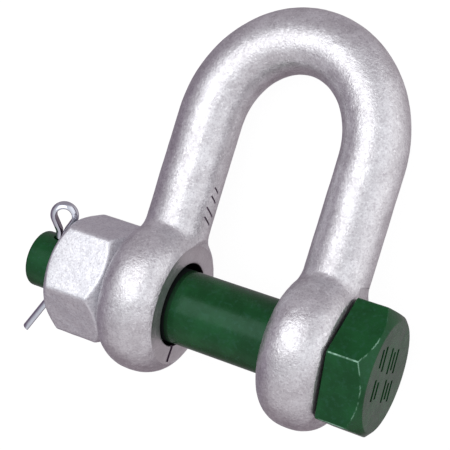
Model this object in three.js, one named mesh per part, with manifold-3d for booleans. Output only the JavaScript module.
// Dee shackle with a safety bolt: a forged galvanised bow, a hexagon-head bolt, a thick nut and a split pin.
//
// Millimetres. Every piece is drawn in the shackle's own frame, with its origin on the axis of the eyes, midway
// between them: +X runs along the bolt towards its head, +Y from the bolt towards the crown, and Z is square to
// the flat of the bow. The last lines lay the shackle on its side on a floor, +Z up, resting on its two eyes and
// its crown, and put the origin on the floor under the middle of the whole part.
import * as THREE from 'three';
import { mergeVertices } from 'three/addons/utils/BufferGeometryUtils.js';
import Module from 'manifold-3d';

// Bow
const BAR_DIAMETER = 22;
const JAW_WIDTH = 36.4;
const EYE_DIAMETER = 52;
const EYE_CORE_DIAMETER = 30;
const EYE_SWELL = 0.7;
const EYE_ROUNDNESS = 0.9;
const EYE_BORE = 28.2;
const JAW_FACE_DIAMETER = 40;
const JAW_FACE_DEPTH = 0.8;
const SEAT_DIAMETER = 48;
const HEAD_SEAT_DEPTH = 1.1;
const LEG_LENGTH = 61.5;
const CROWN_HEIGHT = 33;

// Bolt
const SHANK_DIAMETER = 25;
const HEAD_THICKNESS = 14.7;
const HEAD_FLATS = 39.3;
const HEAD_FACE_DIAMETER = 36.6;
const HEAD_TURN = -9.2;
const HEAD_GAP = 0.3;
const BOLT_LENGTH = 130;
const BOLT_OFFSET = -0.5;
const END_DIAMETER = 19.6;
const END_CHAMFER = 1;
const HEXAGON_CHAMFER = 40;

// Thread, ISO metric M24 x 3
const THREAD_DIAMETER = 24;
const THREAD_PITCH = 3;
const THREAD_DEPTH = 1.84;
const THREAD_START = -38.2;
const THREAD_END = -65.2;
const THREAD_CLEARANCE = 0.4;
const THREAD_FOOT = 0.25;

// Nut
const NUT_THICKNESS = 22;
const NUT_FLATS = 37.2;
const NUT_FACE_DIAMETER = 35;
const NUT_TURN = 17.9;
const NUT_GAP = 0.5;
const NUT_COUNTERSINK = 1.4;

// Split pin, nominal size 5
const PIN_POSITION = -68.3;
const PIN_LEAN = 19.7;
const PIN_TWIST = 25;
const CROSS_HOLE = 5.6;
const WIRE_RADIUS = 2.15;
const WIRE_GAP = 0.2;
const LOOP_WIDTH = 9.8;
const LOOP_TOP = 13;
const NECK_HEIGHT = 1.5;
const NECK_RADIUS = 3;
const LEG_EXIT = 0.8;
const BEND_RADIUS = 3;
const OUTER_LEG = { angle: 30, length: 15.4 };
const INNER_LEG = { angle: 50, length: 13.5 };

// Facets
const BAR_SIDES = 24;
const BOW_STEPS = 46;
const EYE_SIDES = 48;
const EYE_PROFILE_STEPS = 10;
const SHANK_SIDES = 48;
const THREAD_SIDES = 24;
const WIRE_ARC_SIDES = 5;
const WIRE_STEPS = 60;

// Sizes that follow from the driving dimensions
const EYE_WIDTH = BAR_DIAMETER;
const EYE_POSITION = (JAW_WIDTH + EYE_WIDTH) / 2;
const EYE_OUTER_FACE = EYE_POSITION + EYE_WIDTH / 2;
const HEAD_UNDERSIDE = EYE_OUTER_FACE - HEAD_SEAT_DEPTH + HEAD_GAP;
const HEAD_FACE = HEAD_UNDERSIDE + HEAD_THICKNESS;
const BOLT_END = HEAD_FACE - BOLT_LENGTH;
const NUT_INNER_FACE = -(EYE_OUTER_FACE + NUT_GAP);
const NUT_OUTER_FACE = NUT_INNER_FACE - NUT_THICKNESS;
const THREAD_RADIUS = THREAD_DIAMETER / 2;
const ROOT_RADIUS = THREAD_RADIUS - THREAD_DEPTH;
const CROWN_DISTANCE = LEG_LENGTH + CROWN_HEIGHT;
const LYING_TILT = Math.asin((EYE_DIAMETER - BAR_DIAMETER) / 2 / CROWN_DISTANCE);

const radians = THREE.MathUtils.degToRad;
const FACET_STAGGER = Math.PI / SHANK_SIDES;
const wasm = await Module();
wasm.setup();

// Solids: three.js geometry in, three.js geometry out, with joins and cuts in between.

function toSolid(geometry) {
  const bare = geometry.clone();
  bare.deleteAttribute('normal');
  bare.deleteAttribute('uv');
  const merged = mergeVertices(bare, 1e-4);
  const index = merged.index.array;
  const faces = [];
  for (let i = 0; i < index.length; i += 3) {
    const [a, b, c] = [index[i], index[i + 1], index[i + 2]];
    if (a !== b && b !== c && c !== a) faces.push(a, b, c);
  }
  if (enclosedVolume(merged.attributes.position, faces) < 0) faces.reverse();
  return new wasm.Manifold(new wasm.Mesh({
    numProp: 3,
    vertProperties: new Float32Array(merged.attributes.position.array),
    triVerts: new Uint32Array(faces),
  }));
}

function enclosedVolume(position, faces) {
  const [a, b, c] = [new THREE.Vector3(), new THREE.Vector3(), new THREE.Vector3()];
  let sum = 0;
  for (let i = 0; i < faces.length; i += 3) {
    a.fromBufferAttribute(position, faces[i]);
    b.fromBufferAttribute(position, faces[i + 1]);
    c.fromBufferAttribute(position, faces[i + 2]);
    sum += a.dot(b.cross(c)) / 6;
  }
  return sum;
}

function toGeometry(solid) {
  const mesh = solid.getMesh();
  const geometry = new THREE.BufferGeometry();
  geometry.setAttribute('position', new THREE.BufferAttribute(new Float32Array(mesh.vertProperties), 3));
  geometry.setIndex(new THREE.BufferAttribute(new Uint32Array(mesh.triVerts), 1));
  geometry.computeVertexNormals();
  return geometry;
}

// A turned solid about the X axis from [radius, x] points, which start and end on the axis. Cutters and threads
// start part of a facet round from the solids that they meet, so that no two edges fall together.
function turned(points, sides, start = 0) {
  const profile = points.map(([radius, x]) => new THREE.Vector2(radius, x));
  return toSolid(new THREE.LatheGeometry(profile, sides, start).rotateZ(-Math.PI / 2));
}

// A straight-sided cutter about the X axis.
function cutter(diameter, from, to) {
  const radius = diameter / 2;
  return turned([[0, from], [radius, from], [radius, to], [0, to]], EYE_SIDES, FACET_STAGGER);
}

// A hexagonal prism about the X axis; turn is the angle from +Y to the middle of a flat.
function hexagonPrism(flats, from, to, turn) {
  const outline = new THREE.Shape();
  for (let corner = 0; corner < 6; corner += 1) {
    const angle = radians(turn + 30 + 60 * corner);
    const radius = flats / 2 / Math.cos(radians(30));
    const [y, z] = [radius * Math.cos(angle), radius * Math.sin(angle)];
    if (corner === 0) outline.moveTo(y, z);
    else outline.lineTo(y, z);
  }
  const prism = new THREE.ExtrudeGeometry(outline, { depth: to - from, bevelEnabled: false });
  const toRowAxes = new THREE.Matrix4().makeBasis(
    new THREE.Vector3(0, 1, 0),
    new THREE.Vector3(0, 0, 1),
    new THREE.Vector3(1, 0, 0),
  );
  return toSolid(prism.applyMatrix4(toRowAxes).translate(from, 0, 0));
}

// The cone that chamfers a hexagon's end, carried on to a radius clear of the corners.
function chamferCone(flats, faceDiameter) {
  const radius = flats / 2 / Math.cos(radians(30)) + 1;
  return { radius, depth: (radius - faceDiameter / 2) * Math.tan(radians(HEXAGON_CHAMFER)) };
}

// Bow: a round bar bent to a D, with a barrel-shaped eye at each end. The eyes are bored for the bolt, spot-faced on
// the inside of the jaw, and have a flat seat outside for the head and for the nut.

class BowCurve extends THREE.Curve {
  constructor() {
    super();
    this.arcLengthDivisions = 600;
  }

  getPoint(t, target = new THREE.Vector3()) {
    if (t < 0.25) return target.set(EYE_POSITION, LEG_LENGTH * t * 4, 0);
    if (t > 0.75) return target.set(-EYE_POSITION, LEG_LENGTH * (1 - t) * 4, 0);
    const angle = (t - 0.25) * 2 * Math.PI;
    return target.set(EYE_POSITION * Math.cos(angle), LEG_LENGTH + CROWN_HEIGHT * Math.sin(angle), 0);
  }
}

function bar() {
  const section = new THREE.Shape().absarc(0, 0, BAR_DIAMETER / 2, 0, 2 * Math.PI);
  return toSolid(new THREE.ExtrudeGeometry(section, {
    steps: BOW_STEPS,
    curveSegments: BAR_SIDES,
    bevelEnabled: false,
    extrudePath: new BowCurve(),
  }));
}

function eye(side) {
  const core = EYE_CORE_DIAMETER / 2;
  const halfWidth = EYE_WIDTH / 2 + EYE_SWELL;
  const profile = [[0, -halfWidth]];
  for (let step = 0; step <= EYE_PROFILE_STEPS; step += 1) {
    const angle = Math.PI * step / EYE_PROFILE_STEPS;
    const outwards = Math.sin(angle) ** EYE_ROUNDNESS;
    const along = -Math.sign(Math.cos(angle)) * Math.abs(Math.cos(angle)) ** EYE_ROUNDNESS;
    profile.push([core + (EYE_DIAMETER / 2 - core) * outwards, along * halfWidth]);
  }
  profile.push([0, halfWidth]);
  return turned(profile, EYE_SIDES).translate([side * EYE_POSITION, 0, 0]);
}

function shackleBody() {
  const beyond = EYE_OUTER_FACE + 10;
  const jaw = JAW_WIDTH / 2 + JAW_FACE_DEPTH;
  const bore = cutter(EYE_BORE, -beyond, beyond);
  const jawFaces = cutter(JAW_FACE_DIAMETER, -jaw, jaw);
  const headSeat = cutter(SEAT_DIAMETER, EYE_OUTER_FACE - HEAD_SEAT_DEPTH, beyond);
  const nutSeat = cutter(SEAT_DIAMETER, -beyond, -EYE_OUTER_FACE);
  return bar().add(eye(-1)).add(eye(1)).subtract(bore).subtract(jawFaces).subtract(headSeat).subtract(nutSeat);
}

// Thread: a ridge of trapezoid section, extruded along the turning angle and wound onto a right-hand helix. Its foot
// is sunk below the inner radius.

function threadRidge(innerRadius, outerRadius, from, to) {
  const foot = innerRadius - THREAD_FOOT;
  const crestWidth = THREAD_PITCH / 8;
  const footWidth = crestWidth + 2 * (outerRadius - foot) * Math.tan(radians(30));
  const turns = (to - from) / THREAD_PITCH;
  const section = new THREE.Shape([
    new THREE.Vector2(foot, -footWidth / 2),
    new THREE.Vector2(outerRadius, -crestWidth / 2),
    new THREE.Vector2(outerRadius, crestWidth / 2),
    new THREE.Vector2(foot, footWidth / 2),
  ]);
  const ridge = new THREE.ExtrudeGeometry(section, {
    depth: 2 * Math.PI * turns,
    steps: Math.round(turns * THREAD_SIDES),
    bevelEnabled: false,
  });
  const position = ridge.attributes.position;
  for (let i = 0; i < position.count; i += 1) {
    const [radius, along, angle] = [position.getX(i), position.getY(i), position.getZ(i)];
    const x = from + along + THREAD_PITCH * angle / (2 * Math.PI);
    position.setXYZ(i, x, radius * Math.cos(angle), radius * Math.sin(angle));
  }
  return toSolid(ridge.rotateX(FACET_STAGGER));
}

// Bolt: head, shank, thread and a plain turned end with a cross hole.

function boltHead() {
  const cone = chamferCone(HEAD_FLATS, HEAD_FACE_DIAMETER);
  const envelope = turned([
    [0, HEAD_UNDERSIDE - 1],
    [cone.radius, HEAD_UNDERSIDE - 1],
    [cone.radius, HEAD_FACE - cone.depth],
    [HEAD_FACE_DIAMETER / 2, HEAD_FACE],
    [0, HEAD_FACE],
  ], EYE_SIDES);
  return hexagonPrism(HEAD_FLATS, HEAD_UNDERSIDE, HEAD_FACE + 1, HEAD_TURN).intersect(envelope);
}

function boltCore() {
  const [shank, end] = [SHANK_DIAMETER / 2, END_DIAMETER / 2];
  return turned([
    [0, BOLT_END],
    [end - END_CHAMFER, BOLT_END],
    [end, BOLT_END + END_CHAMFER],
    [end, THREAD_END - (ROOT_RADIUS - end)],
    [ROOT_RADIUS, THREAD_END],
    [ROOT_RADIUS, THREAD_START - (shank - ROOT_RADIUS)],
    [shank, THREAD_START],
    [shank, HEAD_UNDERSIDE + 1],
    [0, HEAD_UNDERSIDE + 1],
  ], SHANK_SIDES);
}

function boltThread() {
  const taper = THREAD_RADIUS - ROOT_RADIUS + 0.4;
  const envelope = turned([
    [0, THREAD_END],
    [ROOT_RADIUS - 0.4, THREAD_END],
    [THREAD_RADIUS + 0.1, THREAD_END + taper],
    [THREAD_RADIUS + 0.1, THREAD_START],
    [0, THREAD_START],
  ], THREAD_SIDES);
  const ridge = threadRidge(ROOT_RADIUS, THREAD_RADIUS, THREAD_END - THREAD_PITCH, THREAD_START);
  return ridge.intersect(envelope);
}

function inPinFrame(solid) {
  const lean = radians(PIN_LEAN);
  const [x, sine, cosine] = [PIN_POSITION, Math.sin(lean), Math.cos(lean)];
  const frame = new THREE.Matrix4().makeBasis(
    new THREE.Vector3(1, 0, 0),
    new THREE.Vector3(0, cosine, sine),
    new THREE.Vector3(0, -sine, cosine),
  ).setPosition(x, 0, 0);
  const twist = new THREE.Matrix4().makeRotationY(radians(PIN_TWIST));
  return solid.applyMatrix4(frame.multiply(twist));
}

function crossHole() {
  return toSolid(inPinFrame(new THREE.CylinderGeometry(CROSS_HOLE / 2, CROSS_HOLE / 2, 40, THREAD_SIDES)));
}

function bolt() {
  return boltCore().add(boltThread()).add(boltHead()).subtract(crossHole());
}

// Nut: a hexagon chamfered at both ends, tapped with the clearance that a zinc coat needs.

function nutTap() {
  const [root, crest] = [ROOT_RADIUS + THREAD_CLEARANCE, THREAD_RADIUS + THREAD_CLEARANCE];
  const reach = NUT_COUNTERSINK + 0.2;
  const core = turned([
    [0, NUT_OUTER_FACE - 1],
    [root + reach + 1, NUT_OUTER_FACE - 1],
    [root, NUT_OUTER_FACE + reach],
    [root, NUT_INNER_FACE - reach],
    [root + reach + 1, NUT_INNER_FACE + 1],
    [0, NUT_INNER_FACE + 1],
  ], THREAD_SIDES);
  const from = THREAD_END - THREAD_PITCH;
  return core.add(threadRidge(root, crest, from, from + THREAD_PITCH * 11));
}

function nut() {
  const cone = chamferCone(NUT_FLATS, NUT_FACE_DIAMETER);
  const envelope = turned([
    [0, NUT_OUTER_FACE],
    [NUT_FACE_DIAMETER / 2, NUT_OUTER_FACE],
    [cone.radius, NUT_OUTER_FACE + cone.depth],
    [cone.radius, NUT_INNER_FACE - cone.depth],
    [NUT_FACE_DIAMETER / 2, NUT_INNER_FACE],
    [0, NUT_INNER_FACE],
  ], EYE_SIDES);
  const blank = hexagonPrism(NUT_FLATS, NUT_OUTER_FACE - 1, NUT_INNER_FACE + 1, NUT_TURN);
  return blank.intersect(envelope).subtract(nutTap());
}

// Split pin: half-round wire folded on itself. Its own frame has Y along the cross hole and X across the loop.

class ArcCurve extends THREE.Curve {
  // from a point, along a unit heading, turning by angle towards a unit side direction
  constructor(from, heading, side, radius, angle) {
    super();
    Object.assign(this, { from, heading, side, radius, angle });
  }

  getPoint(t, target = new THREE.Vector3()) {
    const angle = this.angle * t;
    return target.copy(this.from)
      .addScaledVector(this.heading, this.radius * Math.sin(angle))
      .addScaledVector(this.side, this.radius * (1 - Math.cos(angle)));
  }

  endHeading() {
    return this.heading.clone().multiplyScalar(Math.cos(this.angle))
      .addScaledVector(this.side, Math.sin(this.angle));
  }

  endSide() {
    return this.side.clone().multiplyScalar(Math.cos(this.angle))
      .addScaledVector(this.heading, -Math.sin(this.angle));
  }
}

// The wire is laid out from the tip of one leg to the tip of the other, as straights and arcs.
class WireRoute extends THREE.CurvePath {
  constructor(start, heading, side) {
    super();
    Object.assign(this, { point: start, heading, side });
  }

  straight(length) {
    const end = this.point.clone().addScaledVector(this.heading, length);
    this.add(new THREE.LineCurve3(this.point, end));
    this.point = end;
    return this;
  }

  // a negative angle turns away from the side direction
  arc(radius, angle) {
    const side = this.side.clone().multiplyScalar(Math.sign(angle));
    const arc = new ArcCurve(this.point, this.heading, side, radius, Math.abs(angle));
    this.add(arc);
    this.point = arc.getPoint(1);
    this.heading = arc.endHeading();
    this.side = arc.endSide().multiplyScalar(Math.sign(angle));
    return this;
  }

  turnSideTo(side) {
    this.side = side;
    return this;
  }
}

function wireRoute() {
  const surface = END_DIAMETER / 2;
  const offset = (WIRE_RADIUS + WIRE_GAP) / 2;
  const loopRadius = (LOOP_WIDTH - WIRE_RADIUS) / 2;
  const loopCentre = surface + LOOP_TOP - WIRE_RADIUS / 2 - loopRadius;
  const neckY = surface + NECK_HEIGHT;

  // The neck arc has its centre outside the loop, so the loop's flank leaves it and meets the loop circle square on.
  const reach = new THREE.Vector2(offset + NECK_RADIUS, loopCentre - neckY);
  const flare = Math.asin((NECK_RADIUS + loopRadius) / reach.length()) - Math.atan2(reach.x, reach.y);
  const flank = Math.sqrt(reach.lengthSq() - (NECK_RADIUS + loopRadius) ** 2);

  const outer = radians(OUTER_LEG.angle);
  const inner = radians(INNER_LEG.angle);
  const bendY = -(surface + LEG_EXIT);
  const stem = neckY - bendY;
  const tip = new THREE.Vector3(
    -offset - BEND_RADIUS * (1 - Math.cos(outer)) - OUTER_LEG.length * Math.sin(outer),
    bendY - BEND_RADIUS * Math.sin(outer) - OUTER_LEG.length * Math.cos(outer),
    0,
  );
  const heading = new THREE.Vector3(Math.sin(outer), Math.cos(outer), 0);
  const left = new THREE.Vector3(-Math.cos(outer), Math.sin(outer), 0);
  return new WireRoute(tip, heading, left)
    .straight(OUTER_LEG.length)
    .arc(BEND_RADIUS, outer)
    .straight(stem)
    .arc(NECK_RADIUS, flare)
    .straight(flank)
    .arc(loopRadius, -(Math.PI + 2 * flare))
    .straight(flank)
    .arc(NECK_RADIUS, flare)
    .straight(stem)
    .turnSideTo(new THREE.Vector3(0, 0, -1))
    .arc(BEND_RADIUS, inner)
    .straight(INNER_LEG.length);
}

function splitPin() {
  const flat = WIRE_RADIUS / 2;
  const section = new THREE.Shape().absarc(0, -flat, WIRE_RADIUS, 0, Math.PI);
  const geometry = new THREE.ExtrudeGeometry(section, {
    steps: WIRE_STEPS,
    curveSegments: WIRE_ARC_SIDES,
    bevelEnabled: false,
    extrudePath: wireRoute(),
  });
  return toSolid(inPinFrame(geometry));
}

// Assembly

const zinc = { color: 0xb9b8bd, roughness: 0.45, metalness: 0.9 };
const finishes = {
  shackle_body: zinc,
  bolt: { color: 0x14502a, roughness: 0.35, metalness: 0 },
  nut: zinc,
  split_pin: { color: 0xa9b0b8, roughness: 0.25, metalness: 1 },
};

function node(name, solid) {
  const mesh = new THREE.Mesh(toGeometry(solid), new THREE.MeshStandardMaterial(finishes[name]));
  mesh.name = name;
  return mesh;
}

// The bolt lies against the side of the bores that its load pulls it to, away from the crown.
const boltGroup = new THREE.Group();
boltGroup.add(node('bolt', bolt()), node('nut', nut()), node('split_pin', splitPin()));
boltGroup.position.y = BOLT_OFFSET;

const shackle = new THREE.Group();
shackle.add(node('shackle_body', shackleBody()), boltGroup);
shackle.rotation.x = -LYING_TILT;

const part = new THREE.Group();
part.add(shackle);
const bounds = new THREE.Box3().setFromObject(part, true);
const middle = bounds.getCenter(new THREE.Vector3());
shackle.position.set(-middle.x, -middle.y, -bounds.min.z);

export default part;
